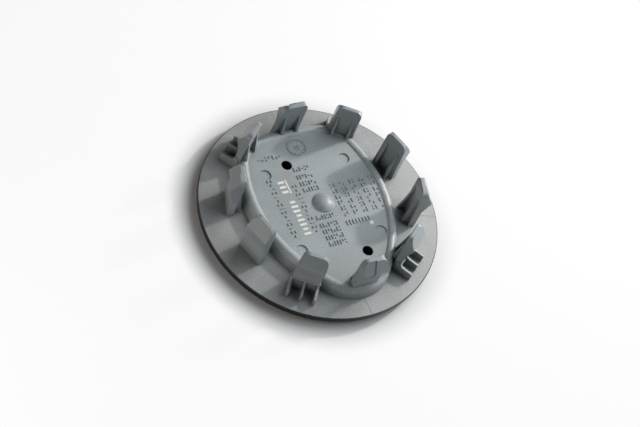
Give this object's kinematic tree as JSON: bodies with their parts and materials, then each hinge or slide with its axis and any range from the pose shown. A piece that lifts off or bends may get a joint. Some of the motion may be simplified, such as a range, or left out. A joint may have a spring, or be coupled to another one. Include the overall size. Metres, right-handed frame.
{
  "type": "wheel centre cap",
  "caption": "Round push-in centre cap for a car wheel, moulded in one piece in dark plastic, with a ring of barbed spring clips on its back and a bare badge pocket in its front.",
  "frame": {"origin": "centre of the cap's front face, the lowest plane, where the cap lies face down", "axes": "+Z along the cap's axis, out of its back, the way the clips point; +Y towards the clip at the round end of the badge seat"},
  "size_m": [0.076, 0.076, 0.0201],
  "materials": {
    "cap_body": "fine matt moulding texture on the back, gloss black lacquer on the front and round the rim"
  },
  "bodies": {
    "root": {"cap_body": "cap_body"}
  },
  "joints": []
}
